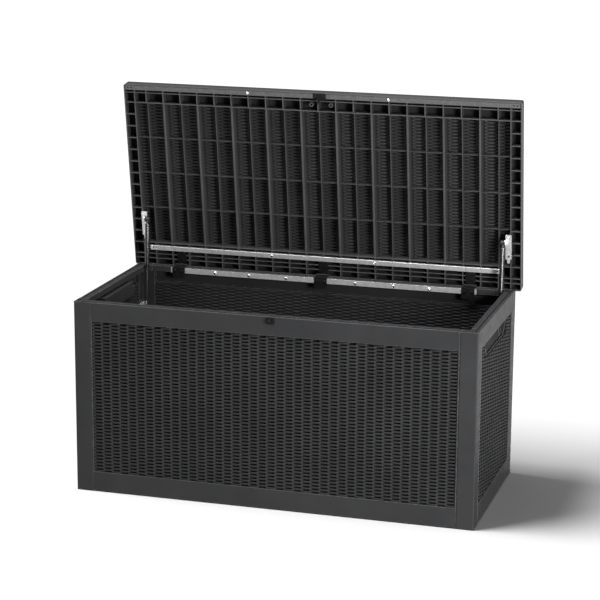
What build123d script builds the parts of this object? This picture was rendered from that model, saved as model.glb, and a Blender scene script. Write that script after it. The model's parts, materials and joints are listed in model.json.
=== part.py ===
from build123d import *
import os
from math import cos, radians, sin, sqrt

# Resin deck storage box, lid open on its two gas struts. Millimetres.
# Origin: middle of the footprint, on the ground. +X to the right, +Y to the rear, +Z up.

# ---- driving dimensions: box ----
LENGTH = 1200.0          # outside, along X
DEPTH = 545.0            # outside, along Y
HEIGHT = 575.0           # ground to the top of the walls
POST_WIDTH = 51.0        # visible width of a corner post on each face
POST_THICK = 14.0
TOP_RAIL = 56.0
BOTTOM_RAIL = 61.0       # ground to the top edge of the bottom rail
FOOT = 3.0               # the posts stand this much below the rails
WALL = 3.0               # resin wall
FIELD_DEPTH = 12.0       # woven field, behind the face of the rails
RIM_WIDTH = 28.0         # flange round the mouth of the box
RIM_THICK = 7.0
RIM_LIP = 10.0           # lip hanging from the inner edge of the flange
GROOVE = (6.0, 15.0, 4.0)    # groove in the rim: outer edge, inner edge, depth
RIM_EDGE = 1.0           # chamfer along the outer edge of the rim
SEAM = 1.0               # gap between a rail and a post
TONGUE_GAP = 0.5         # between a post and the wall's tongue behind it
TONGUE_REACH = 22.0      # how far the tongue runs in behind the post
POST_ROUND = 4.0         # outer corner of a post
POST_EDGE = 2.0          # the post's edges beside the rails
FLOOR_TOP = 18.0
FLOOR_INSET = 19.0       # edge of the floor, inside the outer faces of the walls
PAD_R = 14.0             # round feet under the floor
PAD_X = (-4, 0, 4)       # their places, in plank widths
PAD_Y = (-2, 0, 2)

# ---- driving dimensions: side handles ----
HANDLE_HALF = 150.0      # half the width of the grip recess
HANDLE_BOTTOM = 475.0
POCKET_HALF = 110.0      # half the width of the deep finger pocket
POCKET_TOP = 548.0
POCKET_DEPTH = 34.0
SCOOP_DEPTH = 22.0
SCOOP_TOP = 6.0          # the scoop runs up this far behind the rail
HANDLE_TAPER = 30.0      # the recess is narrower at its bottom edge, by this each side
POCKET_TAPER = 20.0
TAPER_RISE = 34.0
SLOPE_TOP = 12.0         # the sloping face ends this far below the rail
MOUTH = 1.0              # the cut starts this far behind the face of the rail
BEZEL_PROUD = 6.0        # raised edge round the recess, in front of the woven field

# ---- driving dimensions: lid, written in the closed pose ----
# s is the distance forward of the hinge axis, n the height above it.
HINGE_Y = DEPTH / 2 + 3.0
HINGE_Z = HEIGHT
LID_OPEN = 81.5          # degrees, at the end of the struts' travel
LID_HALF = 616.0
LID_REAR = -7.0          # the rear skirt hangs behind the hinge axis
LID_FRONT = 580.0
LID_UNDER = 0.5          # underside of the skirt above the rim
LID_CORNER = 6.0
LID_EDGE = 2.5
SKIN_IN = 29.0
SKIN_OUT = 32.0
PLANKS = 11
PLANK = LENGTH / PLANKS
PLANK_GAP = 8.0
PLANK_STEP = 2.0
PLANK_CROWN = 5.5
PLANK_INSET = 11.0       # plain border of the lid in front of and behind the planks
RIB = 2.5
RIDGE_ROOT_HALF = 5.5    # half widths of the ridges between planks
RIDGE_TIP_HALF = 2.5
RIB_ROOT = SKIN_OUT + PLANK_CROWN + 1.0      # the ribs run up into the skin from below
BORDER_X = 583.0         # inner rib of the side borders
BORDER_S = (16.0, 31.0, 68.0, 523.0, 555.0)
CROSS_S = [68.0 + 455.0 * k / 4 for k in (1, 2, 3)]
LADDER_S = [68.0 + 455.0 * k / 12 for k in range(1, 12)]
RIB_TIP = 1.5            # lower edge of the border ribs
RIDGE_TIP = 4.0
MINOR_TIP = 12.0
CROSS_TIP = 14.0
BAR_WIDTH = 15.0
FRONT_BAR_S = (562.5, 576.5)
REAR_BAR_S = (44.0, 59.0)
BAR_DEEP = 9.0
BAR_SHEET = 1.5
BAR_ROUND = 1.0
BAR_END_HOLES = (9.0, 19.0)  # from each end of a bar
BAR_END_HOLE_R = 2.2
FRONT_BAR_HALF = 611.0
REAR_BAR_HALF = 562.0
BAR_SEAT = 0.5           # room round a bar in the ribs
FRONT_BAR_SCREWS = (-2 * PLANK, 2 * PLANK)
REAR_BAR_SCREWS = (-1.5 * PLANK, 1.5 * PLANK)
LATCH_BOSSES = (-20.0, 40.0)
LATCH_BOSS_S = 543.0
LATCH_BOSS_R = 6.5
LATCH_BOSS_HOLE = (4.2, 20.0)    # radius, depth
BOSS_R = 5.0
BOSS_TIP = 3.0
LATCH_BOSS_TIP = 2.0

# ---- driving dimensions: hinges ----
HINGE_X = (-460.0, 0.0, 460.0)
HINGE_NAMES = ("left", "centre", "right")
LEAF_HALF = 20.0
LID_LEAF_HALF = 15.0
LEAF_THICK = 2.5
LEAF_LOW = 34.0          # lower edge of the wall leaf, below the rim
LID_LEAF_S = (8.0, 43.0)
KNUCKLE_R = 5.0
KNUCKLE_HALF = 6.7       # the lid's knuckle; the box's two stand outside it
PIN_R = 2.5
PIN_CLEAR = 0.05
PIN_HEAD_R = 4.0
PIN_HEAD = 2.0
KNUCKLE_GAP = 0.3
KNUCKLE_ROOM = 0.8       # round the knuckles in the rear rail
KNUCKLE_SEAT = 1.6       # round the knuckles in the lid's skirt
LEAF_SEAT = 0.5
NOTCH_SIDE = 3.0         # the notches are this much wider than the leaf, each side
WALL_BAR_Y = 2.0         # thickness of the strip inside the rear rim
WALL_BAR_HALF = 486.0
WALL_BAR_Z = (HEIGHT - 18.5, HEIGHT - 2.6)

# ---- driving dimensions: gas struts ----
# Both pivots are the same distance from the hinge axis, so each end of the strut
# turns by exactly half of the lid's angle and the rod stays in line with its tube.
STRUT_X = 562.0
LID_PIVOT_S = 150.0
LID_PIVOT_N = -12.0
PIVOT_RADIUS = sqrt(LID_PIVOT_S**2 + LID_PIVOT_N**2)
BOX_PIVOT_ANGLE = 71.0   # degrees below the horizontal, seen from the hinge axis
BALL_R = 5.0
BALL_CLEAR = 0.08
SOCKET_R = 7.0
TUBE_R = 7.0
TUBE_BORE = 5.8
TUBE_START = 14.0        # distances from the ball centre at the same end
TUBE_END = 152.5
ROD_R = 3.0
NECK_END = 12.0
GUIDE_TOP = TUBE_END - 1.1
GUIDE_LENGTH = 4.0
PISTON_LENGTH = 4.0
PISTON_GAP = 0.5
PISTON_BORE_CLEAR = 0.02
NECK_R = 4.2
THREAD_R = 2.5
TUBE_END_WALL = 2.5
TUBE_LIP = 1.0
TUBE_ROUND = 1.2
SOCKET_LENGTH = 12.5
SOCKET_MIDDLE = 0.25     # the socket's middle is this far outboard of the ball
SOCKET_MOUTH_R = 4.0
ROD_CLEAR = 0.5
GUIDE_CLEAR = 0.05
PISTON_CLEAR = 0.15
STUD_NECK_R = 3.0
RIVET_R = 2.45
RIVET_SEAT_R = 2.5
EAR_X = (569.5, 571.5)
EAR_R = 10.0
BRACKET_X = (567.5, 585.5)
BRACKET_S = (92.0, 170.0)
BRACKET_TAIL_S = 81.0
BRACKET_CORNER = 3.0
WALL_PLATE_X = (570.0, 572.0)
WALL_PLATE_Y = (194.0, 240.0)
WALL_PLATE_HALF = 28.0   # above and below the ball
WALL_PLATE_CORNER = 6.0
WALL_PLATE_SCREW_Y = 205.0
WALL_PLATE_SCREW_DZ = 18.0
PAD_MARGIN = 4.0         # the resin pad stands out round the plate
PAD_REAR = 25.0          # width of the pad's part that reaches the woven field

# ---- driving dimensions: padlock fittings ----
STAPLE_Z = 563.0
EYE_OUT = 8.5            # eye centre in front of the front face
EYE_R = 4.5
EYE_OUTER_R = 8.0
TAB_THICK = 3.0
TAB_GAP = 1.0            # between the staple's eye and the lug's tongue
TONGUE_BACK = 5.5        # back of the lug's tongue, behind the centre of its eye
STAPLE_HALF = 12.0       # the staple's plate
STAPLE_HALF_TALL = 10.0
STAPLE_SCREW_X = 8.0
LUG_X = (-13.0, 26.0)
LUG_S = (559.5, 579.5)
LUG_SCREW_X = (-7.0, 20.0)
FITTING_CORNER = 3.0
PLATE_THICK = 2.0        # feet of the padlock fittings and the strut brackets

# ---- driving dimensions: screws ----
SHANK_R = 1.9
HOLE_R = 2.0
HEAD_R = 4.2
HEAD_H = 2.2
HEAD_ROUND = 0.9
SUNK_R = 3.7             # countersunk heads, where other parts pass close over them
SUNK_ROOM = 0.6
SLOT_R = 1.3             # driver recess of a screw
SUNK_SLOT_R = 1.2
SLOT_DEEP = 0.9
OVERCUT = 1.0            # how far a cutting tool runs past a face


def block(x0, x1, y0, y1, z0, z1):
    """Box between two corners."""
    centre = Pos((x0 + x1) / 2, (y0 + y1) / 2, (z0 + z1) / 2)
    return centre * Box(abs(x1 - x0), abs(y1 - y0), abs(z1 - z0))


def lid_block(x0, x1, s0, s1, n0, n1):
    """Box in the closed lid, s forward of the hinge axis and n above it."""
    return block(x0, x1, HINGE_Y - s1, HINGE_Y - s0, HINGE_Z + n0, HINGE_Z + n1)


def rod(start, end, radius):
    """Round bar between two points."""
    start, end = Vector(*start), Vector(*end)
    along = end - start
    plane = Plane(origin=start, z_dir=along)
    return plane.location * Cylinder(radius, along.length, align=(Align.CENTER, Align.CENTER, Align.MIN))


def upright(radius, low, high):
    """Round bar on the Z axis."""
    return Pos(0, 0, low) * Cylinder(radius, high - low, align=(Align.CENTER, Align.CENTER, Align.MIN))


def fuse(shapes):
    """One solid from a list of overlapping ones."""
    return shapes[0].fuse(*shapes[1:]).clean()


def cut(shape, tools):
    """A shape with every tool taken out of it."""
    return shape.cut(*tools)


def mirrored(shape):
    """The same piece on the other side of the box."""
    return shape.mirror(Plane.YZ)


def opened(shape):
    """A lid piece turned from the closed pose to the open one."""
    return shape.rotate(Axis((0, HINGE_Y, HINGE_Z), (1, 0, 0)), -LID_OPEN)


def screw(place):
    """Pan-head screw: place is the point under the head, the way in, and the length."""
    point, way, length = Vector(*place[0]), Vector(*place[1]), place[2]
    head = rod(point, point - way * HEAD_H, HEAD_R)
    head = chamfer(head.faces().sort_by(Axis(point, -way))[-1].edges(), HEAD_ROUND)
    recess = rod(point - way * (HEAD_H + OVERCUT), point - way * (HEAD_H - SLOT_DEEP), SLOT_R)
    return head.fuse(rod(point, point + way * length, SHANK_R)).cut(recess)


def sunk_screw(place):
    """Countersunk screw, its head flush with the point."""
    point, way, length = place
    frame = Plane(origin=point, z_dir=way).location
    recess = upright(SUNK_SLOT_R, -OVERCUT, SLOT_DEEP)
    head = Cone(SUNK_R, SHANK_R, SUNK_R - SHANK_R, align=(Align.CENTER, Align.CENTER, Align.MIN))
    return frame * head.fuse(upright(SHANK_R, 0, length)).cut(recess)


def sunk_seat(place):
    """Hole and countersink for such a screw."""
    point, way, length = place
    frame = Plane(origin=point, z_dir=way).location
    wide = SUNK_R + SUNK_ROOM
    seat = Cone(wide, HOLE_R, wide - HOLE_R, align=(Align.CENTER, Align.CENTER, Align.MIN))
    return frame * Pos(0, 0, -OVERCUT / 2) * seat.fuse(upright(HOLE_R, 0, length + OVERCUT))


def screw_hole(place):
    """Hole for the shank of a screw."""
    point, way, length = Vector(*place[0]), Vector(*place[1]), place[2]
    return rod(point - way * OVERCUT / 2, point + way * (length + OVERCUT / 2), HOLE_R)


# ---- screw places: each is a point under the head, the way in, and the length ----
BOX_INNER_Y = DEPTH / 2 - RIM_WIDTH
LEAF_FRONT_Y = BOX_INNER_Y - WALL_BAR_Y - LEAF_THICK
LIP_SCREW_Z = HEIGHT - 11.0
LEAF_SCREW_DX = 12.0
LEAF_SCREW_S = (21.0, 36.0)
WALL_BAR_SCREW_X = (110.0, 230.0, 340.0)
LID_BRACKET_SCREW_X = 577.0
LID_BRACKET_SCREW_S = (103.0, 161.0)
WALL_SCREW, BAR_SCREW, LID_SCREW, SHORT_SCREW = 10.0, 16.0, 14.0, 8.0


def lid_screw(x, s, n, length):
    """Screw driven up into the closed lid."""
    return ((x, HINGE_Y - s, HINGE_Z + n), (0, 0, 1), length)


def bar_screws(places, s_range):
    """Screws along the middle of a channel in the lid."""
    return [lid_screw(x, sum(s_range) / 2, LID_UNDER, BAR_SCREW) for x in places]


BOX_LEAF_SCREWS = [((x + side * LEAF_SCREW_DX, LEAF_FRONT_Y, LIP_SCREW_Z), (0, 1, 0), WALL_SCREW)
                   for x in HINGE_X for side in (-1, 1)]
WALL_BAR_SCREWS = [((side * x, BOX_INNER_Y - WALL_BAR_Y, LIP_SCREW_Z), (0, 1, 0), SHORT_SCREW)
                   for x in WALL_BAR_SCREW_X for side in (-1, 1)]
LID_LEAF_SCREWS = [lid_screw(x, s, LID_UNDER, LID_SCREW) for x in HINGE_X for s in LEAF_SCREW_S]
LID_BAR_SCREWS = bar_screws(FRONT_BAR_SCREWS, FRONT_BAR_S) + bar_screws(REAR_BAR_SCREWS, REAR_BAR_S)
LID_BRACKET_SCREWS = [lid_screw(side * LID_BRACKET_SCREW_X, s, LID_UNDER, LID_SCREW)
                      for side in (-1, 1) for s in LID_BRACKET_SCREW_S]
LUG_SCREWS = [lid_screw(x, sum(LUG_S) / 2, LID_UNDER - PLATE_THICK, LID_SCREW) for x in LUG_SCREW_X]
STAPLE_SCREWS = [((side * STAPLE_SCREW_X, -DEPTH / 2 - PLATE_THICK, STAPLE_Z), (0, 1, 0), SHORT_SCREW)
                 for side in (-1, 1)]


def box_pivot():
    """Lower ball centre, on the side wall."""
    angle = radians(BOX_PIVOT_ANGLE)
    return Vector(STRUT_X, HINGE_Y - PIVOT_RADIUS * cos(angle), HINGE_Z - PIVOT_RADIUS * sin(angle))


def lid_pivot():
    """Upper ball centre with the lid open."""
    angle = radians(LID_OPEN)
    y = HINGE_Y - LID_PIVOT_S * cos(angle) + LID_PIVOT_N * sin(angle)
    z = HINGE_Z + LID_PIVOT_S * sin(angle) + LID_PIVOT_N * cos(angle)
    return Vector(STRUT_X, y, z)


WALL_PLATE_SCREWS = [((side * WALL_PLATE_X[0], WALL_PLATE_SCREW_Y, box_pivot().Z + end * WALL_PLATE_SCREW_DZ),
                      (side, 0, 0), WALL_SCREW) for side in (-1, 1) for end in (-1, 1)]
RIGHT_WALL_PLATE_SCREWS = [place for place in WALL_PLATE_SCREWS if place[0][0] > 0]
RIGHT_LID_BRACKET_SCREWS = [place for place in LID_BRACKET_SCREWS if place[0][0] > 0]


# ---- box ----
def wall_section():
    """Section of a wall, in depth behind the outer face (first) and height (second)."""
    rail_low = HEIGHT - TOP_RAIL
    pieces = [
        (0, WALL, rail_low, HEIGHT),
        (0, RIM_WIDTH, HEIGHT - RIM_THICK, HEIGHT),
        (RIM_WIDTH - WALL, RIM_WIDTH, HEIGHT - RIM_THICK - RIM_LIP, HEIGHT),
        (0, FIELD_DEPTH + WALL, rail_low, rail_low + WALL),
        (FIELD_DEPTH, FIELD_DEPTH + WALL, BOTTOM_RAIL - WALL, rail_low + WALL),
        (0, FIELD_DEPTH + WALL, BOTTOM_RAIL - WALL, BOTTOM_RAIL),
        (0, WALL, FOOT, BOTTOM_RAIL),
        (0, RIM_WIDTH, FOOT, FOOT + WALL),
    ]
    return pieces


def wall(half):
    """Straight wall facing -Y with its outer face at y = 0, between two posts."""
    run = half - POST_WIDTH - SEAM
    parts = [block(-run, run, a, b, z0, z1) for a, b, z0, z1 in wall_section()]
    tongue_back = POST_THICK + TONGUE_GAP + WALL
    top = HEIGHT - RIM_THICK - SEAM
    for side in (-1, 1):
        parts.append(block(side * (run - WALL), side * run, 0, tongue_back, FOOT, HEIGHT))
        parts.append(block(side * (run - WALL), side * (run + TONGUE_REACH), tongue_back - WALL, tongue_back,
                           FOOT + WALL, top))
    outer_edge, inner_edge, deep = GROOVE
    groove = block(-run, run, outer_edge, inner_edge, HEIGHT - deep, HEIGHT + OVERCUT)
    body = fuse(parts).cut(groove)
    top_edges = body.edges().filter_by(Axis.X).group_by(Axis.Z)[-1].sort_by(Axis.Y)
    return chamfer(top_edges[0], RIM_EDGE)


def front_panel():
    body = Pos(0, -DEPTH / 2, 0) * wall(LENGTH / 2)
    return cut(body, [screw_hole(place) for place in STAPLE_SCREWS])


def back_panel():
    body = Pos(0, DEPTH / 2, 0) * Rot(0, 0, 180) * wall(LENGTH / 2)
    tools = [screw_hole(place) for place in BOX_LEAF_SCREWS + WALL_BAR_SCREWS]
    leaf_seat, notch = LEAF_HALF + LEAF_SEAT, LEAF_HALF + NOTCH_SIDE
    room = KNUCKLE_R + KNUCKLE_ROOM
    past, above = DEPTH / 2 + OVERCUT, HEIGHT + OVERCUT
    for x in HINGE_X:
        tools.append(block(x - leaf_seat, x + leaf_seat, BOX_INNER_Y - OVERCUT, past,
                           HEIGHT - LEAF_THICK - 0.2, above))
        tools.append(block(x - notch, x + notch, HINGE_Y - room, past, HEIGHT - room, above))
    return cut(body, tools)


def handle_prism(half_low, half_high, depth, top, grow):
    """Scoop that slopes in from the field and runs up behind the rail, on a wall facing -Y."""
    rail_low = HEIGHT - TOP_RAIL
    low, high, back = HANDLE_BOTTOM - grow, top + grow, depth + grow
    front = FIELD_DEPTH - BEZEL_PROUD if grow else MOUTH
    behind_rail = FIELD_DEPTH + WALL + OVERCUT - grow
    section = Polyline((front, low), (FIELD_DEPTH, low), (back, rail_low - SLOPE_TOP), (back, high),
                       (behind_rail, high), (behind_rail, rail_low), (front, rail_low), close=True)
    wide, narrow, shoulder = half_high + grow, half_low + grow, low + TAPER_RISE
    prism = extrude(Plane.YZ * make_face(section), wide, both=True)
    taper = Polyline((-narrow, low), (narrow, low), (wide, shoulder), (wide, high),
                     (-wide, high), (-wide, shoulder), close=True)
    return prism & extrude(Plane.XZ * make_face(taper), -(back + OVERCUT))


def side_wall():
    """Side wall facing -Y, with its grip recess: a wide scoop and a deeper pocket in its middle."""
    scoop_top = HEIGHT - TOP_RAIL + SCOOP_TOP
    scoop = (HANDLE_HALF - HANDLE_TAPER, HANDLE_HALF, SCOOP_DEPTH, scoop_top)
    pocket = (POCKET_HALF - POCKET_TAPER, POCKET_HALF, POCKET_DEPTH, POCKET_TOP)
    shells = [handle_prism(*form, WALL) for form in (scoop, pocket)]
    hollows = [handle_prism(*form, 0) for form in (scoop, pocket)]
    return cut(fuse([wall(DEPTH / 2)] + shells), hollows)


def side_panel():
    """Right-hand wall, with the pad that the strut bracket is screwed to."""
    body = Pos(LENGTH / 2, 0, 0) * Rot(0, 0, 90) * side_wall()
    low = box_pivot().Z - WALL_PLATE_HALF - PAD_MARGIN
    high = box_pivot().Z + WALL_PLATE_HALF + PAD_MARGIN
    inner = LENGTH / 2 - FIELD_DEPTH - WALL
    tongue = LENGTH / 2 - POST_THICK - TONGUE_GAP - WALL / 2
    front, rear = WALL_PLATE_Y[0] - PAD_MARGIN / 2, WALL_PLATE_Y[1] + PAD_MARGIN / 2
    pads = [block(WALL_PLATE_X[1], inner + OVERCUT, front, front + PAD_REAR, low, high),
            block(WALL_PLATE_X[1], tongue, front, rear, low, high)]
    return cut(fuse([body] + pads), [screw_hole(place) for place in RIGHT_WALL_PLATE_SCREWS])


def corner_post():
    """Front right corner: a hollow L with the rim carried round it."""
    x1, y1 = LENGTH / 2, -DEPTH / 2
    legs = fuse([block(x1 - POST_WIDTH, x1, y1, y1 + POST_THICK, 0, HEIGHT),
                 block(x1 - POST_THICK, x1, y1, y1 + POST_WIDTH, 0, HEIGHT)])
    corner = legs.edges().filter_by(Axis.Z).sort_by(lambda edge: edge.center().X - edge.center().Y)[-1]
    legs = fillet(corner, POST_ROUND)
    side_edges = [edge for edge in legs.edges().filter_by(Axis.Z)
                  if edge.center().X < x1 - POST_WIDTH + 1 and edge.center().Y < y1 + 1
                  or edge.center().Y > y1 + POST_WIDTH - 1 and edge.center().X > x1 - 1]
    legs = fillet(side_edges, POST_EDGE)
    low = HEIGHT - RIM_THICK
    lip = low - RIM_LIP
    inner_x, inner_y = x1 - RIM_WIDTH, y1 + RIM_WIDTH
    hollow_top = lip + 2.0
    near, far = POST_WIDTH - WALL, POST_THICK - WALL
    hollow = fuse([block(x1 - near, x1 - WALL, y1 + WALL, y1 + far, -OVERCUT, hollow_top),
                   block(x1 - far, x1 - WALL, y1 + WALL, y1 + near, -OVERCUT, hollow_top)])
    rim = [block(x1 - POST_WIDTH, x1 - POST_ROUND, y1 + POST_ROUND, inner_y, low, HEIGHT),
           block(inner_x, x1 - POST_ROUND, y1 + POST_ROUND, y1 + POST_WIDTH, low, HEIGHT),
           block(x1 - POST_WIDTH, inner_x + WALL, inner_y - WALL, inner_y, lip, HEIGHT),
           block(inner_x, inner_x + WALL, inner_y - WALL, y1 + POST_WIDTH, lip, HEIGHT)]
    outer_edge, inner_edge, deep = GROOVE
    bottom, above = HEIGHT - deep, HEIGHT + OVERCUT
    past = POST_WIDTH + OVERCUT
    grooves = [block(x1 - past, x1 - outer_edge, y1 + outer_edge, y1 + inner_edge, bottom, above),
               block(x1 - inner_edge, x1 - outer_edge, y1 + outer_edge, y1 + past, bottom, above)]
    return cut(fuse([legs.cut(hollow)] + rim), grooves)


def floor_panel():
    """Ribbed floor standing on the bottom flanges of the walls."""
    half_x, half_y = LENGTH / 2 - FLOOR_INSET, DEPTH / 2 - FLOOR_INSET
    rib_x, rib_y = LENGTH / 2 - RIM_WIDTH - SEAM, DEPTH / 2 - RIM_WIDTH - SEAM
    parts = [block(-half_x, half_x, -half_y, half_y, FLOOR_TOP - WALL, FLOOR_TOP)]
    for side in (-1, 1):
        parts.append(block(side * (half_x - WALL), side * half_x, -half_y, half_y, FOOT + WALL, FLOOR_TOP))
        parts.append(block(-half_x, half_x, side * (half_y - WALL), side * half_y, FOOT + WALL, FLOOR_TOP))
    for k in range(-5, 6):
        x = k * PLANK
        parts.append(block(x - RIB / 2, x + RIB / 2, -rib_y, rib_y, FOOT, FLOOR_TOP - 1))
    for k in range(-2, 3):
        y = k * PLANK
        parts.append(block(-rib_x, rib_x, y - RIB / 2, y + RIB / 2, FOOT, FLOOR_TOP - 1))
    for i in PAD_X:
        for j in PAD_Y:
            parts.append(Pos(i * PLANK, j * PLANK, 0) * upright(PAD_R, 0, FLOOR_TOP - WALL))
    return fuse(parts)


def rear_wall_bar():
    bar = block(-WALL_BAR_HALF, WALL_BAR_HALF, BOX_INNER_Y - WALL_BAR_Y, BOX_INNER_Y, *WALL_BAR_Z)
    return cut(bar, [screw_hole(place) for place in BOX_LEAF_SCREWS + WALL_BAR_SCREWS])


# ---- hinges ----
def on_axis(x0, x1, radius):
    """Round bar on the hinge axis."""
    return rod((x0, HINGE_Y, HINGE_Z), (x1, HINGE_Y, HINGE_Z), radius)


def pin_hole(x):
    return on_axis(x - LEAF_HALF - OVERCUT, x + LEAF_HALF + OVERCUT, PIN_R + PIN_CLEAR)


def box_leaf(x):
    """Leaf over the rear rim and down its inside, with two knuckles."""
    low, bridge_end = HEIGHT - LEAF_THICK, HINGE_Y - KNUCKLE_R - 1.0
    parts = [block(x - LEAF_HALF, x + LEAF_HALF, LEAF_FRONT_Y, LEAF_FRONT_Y + LEAF_THICK,
                   HEIGHT - LEAF_LOW, HEIGHT),
             block(x - LEAF_HALF, x + LEAF_HALF, LEAF_FRONT_Y, bridge_end, low, HEIGHT)]
    for side in (-1, 1):
        near, far = x + side * (KNUCKLE_HALF + KNUCKLE_GAP), x + side * LEAF_HALF
        parts.append(on_axis(near, far, KNUCKLE_R))
        parts.append(block(near, far, bridge_end - 1.0, HINGE_Y, low, HEIGHT))
    return cut(fuse(parts), [pin_hole(x)] + [screw_hole(place) for place in BOX_LEAF_SCREWS])


def lid_leaf(x):
    """Closed pose: flat leaf under the lid, with the middle knuckle."""
    low, high = LID_UNDER, LID_UNDER + LEAF_THICK
    parts = [lid_block(x - LID_LEAF_HALF, x + LID_LEAF_HALF, *LID_LEAF_S, low, high),
             lid_block(x - KNUCKLE_HALF, x + KNUCKLE_HALF, 0.0, LID_LEAF_S[0] + 1.0, low, high),
             on_axis(x - KNUCKLE_HALF, x + KNUCKLE_HALF, KNUCKLE_R)]
    return cut(fuse(parts), [pin_hole(x)] + [sunk_seat(place) for place in LID_LEAF_SCREWS])


def hinge_pin(x):
    """Pin through the three knuckles, with a head at its left end."""
    left, right = x - LEAF_HALF - KNUCKLE_GAP, x + LEAF_HALF + 1.5
    return fuse([on_axis(left - PIN_HEAD / 2, right, PIN_R), on_axis(left - PIN_HEAD, left, PIN_HEAD_R)])


# ---- lid, closed pose ----
def plank_prism(index, drop, inset):
    """One crowned plank: a stepped edge, then a shallow arch, running front to rear."""
    left = -LENGTH / 2 + index * PLANK + PLANK_GAP / 2 + inset
    right = left + PLANK - PLANK_GAP - 2 * inset
    base = HINGE_Z + SKIN_OUT - drop
    shoulder = base + PLANK_STEP
    outline = [Line((left, base - 0.5), (left, shoulder)),
               ThreePointArc((left, shoulder), ((left + right) / 2, base + PLANK_CROWN), (right, shoulder)),
               Line((right, shoulder), (right, base - 0.5)),
               Line((right, base - 0.5), (left, base - 0.5))]
    face = Plane.XZ * make_face(Wire(outline))
    front = HINGE_Y - LID_FRONT + PLANK_INSET + inset
    rear = HINGE_Y - LID_REAR - PLANK_INSET - inset
    return Pos(0, rear, 0) * extrude(face, rear - front)


def ridge(x, s0, s1):
    """Tapered rib under the groove between two planks."""
    root, tip = HINGE_Z + RIB_ROOT, HINGE_Z + RIDGE_TIP
    outline = Polyline((x - RIDGE_ROOT_HALF, root), (x - RIDGE_TIP_HALF, tip),
                       (x + RIDGE_TIP_HALF, tip), (x + RIDGE_ROOT_HALF, root), close=True)
    return Pos(0, HINGE_Y - s0, 0) * extrude(Plane.XZ * make_face(outline), s1 - s0)


def lid_ribs():
    """Every rib on the underside of the lid."""
    half, top = RIB / 2, RIB_ROOT
    inner_half, rear, front = LID_HALF - 1, LID_REAR + 1, LID_FRONT - 1
    ribs = []
    for s in BORDER_S:
        ribs.append(lid_block(-inner_half, inner_half, s - half, s + half, RIB_TIP, top))
    for s in CROSS_S:
        ribs.append(lid_block(-inner_half, inner_half, s - half, s + half, CROSS_TIP, top))
    for side in (-1, 1):
        x = side * BORDER_X
        ribs.append(lid_block(x - half, x + half, rear, front, RIB_TIP, top))
        for s in LADDER_S:
            ribs.append(lid_block(x, side * inner_half, s - half, s + half, RIB_TIP, top))
    for k in range(-5, 6):
        x = k * PLANK
        ribs.append(lid_block(x - half, x + half, BORDER_S[2], BORDER_S[3], MINOR_TIP, top))
        ribs.append(lid_block(x - half, x + half, BORDER_S[3], front, RIB_TIP, top))
        ribs.append(lid_block(x - half, x + half, rear, BORDER_S[2], RIB_TIP, top))
    for k in range(-5, 5):
        x = (k + 0.5) * PLANK
        ribs.append(ridge(x, BORDER_S[2], BORDER_S[3]))
        ribs.append(lid_block(x - half, x + half, BORDER_S[3], front, RIB_TIP, top))
        ribs.append(lid_block(x - half, x + half, rear, BORDER_S[2], RIB_TIP, top))
    return ribs


def lid_bosses():
    """Round bosses that the lid's screws go into, and the two open ones by the latch."""
    bosses = []
    for (x, y, _), _, _ in LID_BAR_SCREWS + LID_LEAF_SCREWS + LID_BRACKET_SCREWS + LUG_SCREWS:
        bosses.append(rod((x, y, HINGE_Z + BOSS_TIP), (x, y, HINGE_Z + RIB_ROOT), BOSS_R))
    latch_y = HINGE_Y - LATCH_BOSS_S
    for x in LATCH_BOSSES:
        bosses.append(rod((x, latch_y, HINGE_Z + LATCH_BOSS_TIP), (x, latch_y, HINGE_Z + RIB_ROOT),
                          LATCH_BOSS_R))
    return bosses


def bar_seat(half, s_range):
    """Room for a channel across the ribs."""
    return lid_block(-half - OVERCUT, half + OVERCUT, s_range[0] - BAR_SEAT, s_range[1] + BAR_SEAT,
                     -OVERCUT, LID_UNDER + BAR_DEEP + 0.2)


def lid_seats():
    """Room in the lid's underside for the channels, hinges and strut brackets."""
    seats = [bar_seat(FRONT_BAR_HALF, FRONT_BAR_S), bar_seat(REAR_BAR_HALF, REAR_BAR_S)]
    leaf, notch, reach = LID_LEAF_HALF + LEAF_SEAT, LEAF_HALF + NOTCH_SIDE, KNUCKLE_R + KNUCKLE_SEAT
    for x in HINGE_X:
        seats.append(lid_block(x - leaf, x + leaf, 0, LID_LEAF_S[1] + LEAF_SEAT,
                               -OVERCUT, LID_UNDER + LEAF_THICK + 0.1))
        seats.append(lid_block(x - notch, x + notch, LID_REAR - OVERCUT, reach, -OVERCUT, reach))
    for side in (-1, 1):
        seats.append(lid_block(side * (BRACKET_X[0] - OVERCUT), side * (BRACKET_X[1] + 0.5),
                               BRACKET_TAIL_S - OVERCUT, BRACKET_S[1] + OVERCUT,
                               -OVERCUT, LID_UNDER + PLATE_THICK + 0.1))
    return seats


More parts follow.
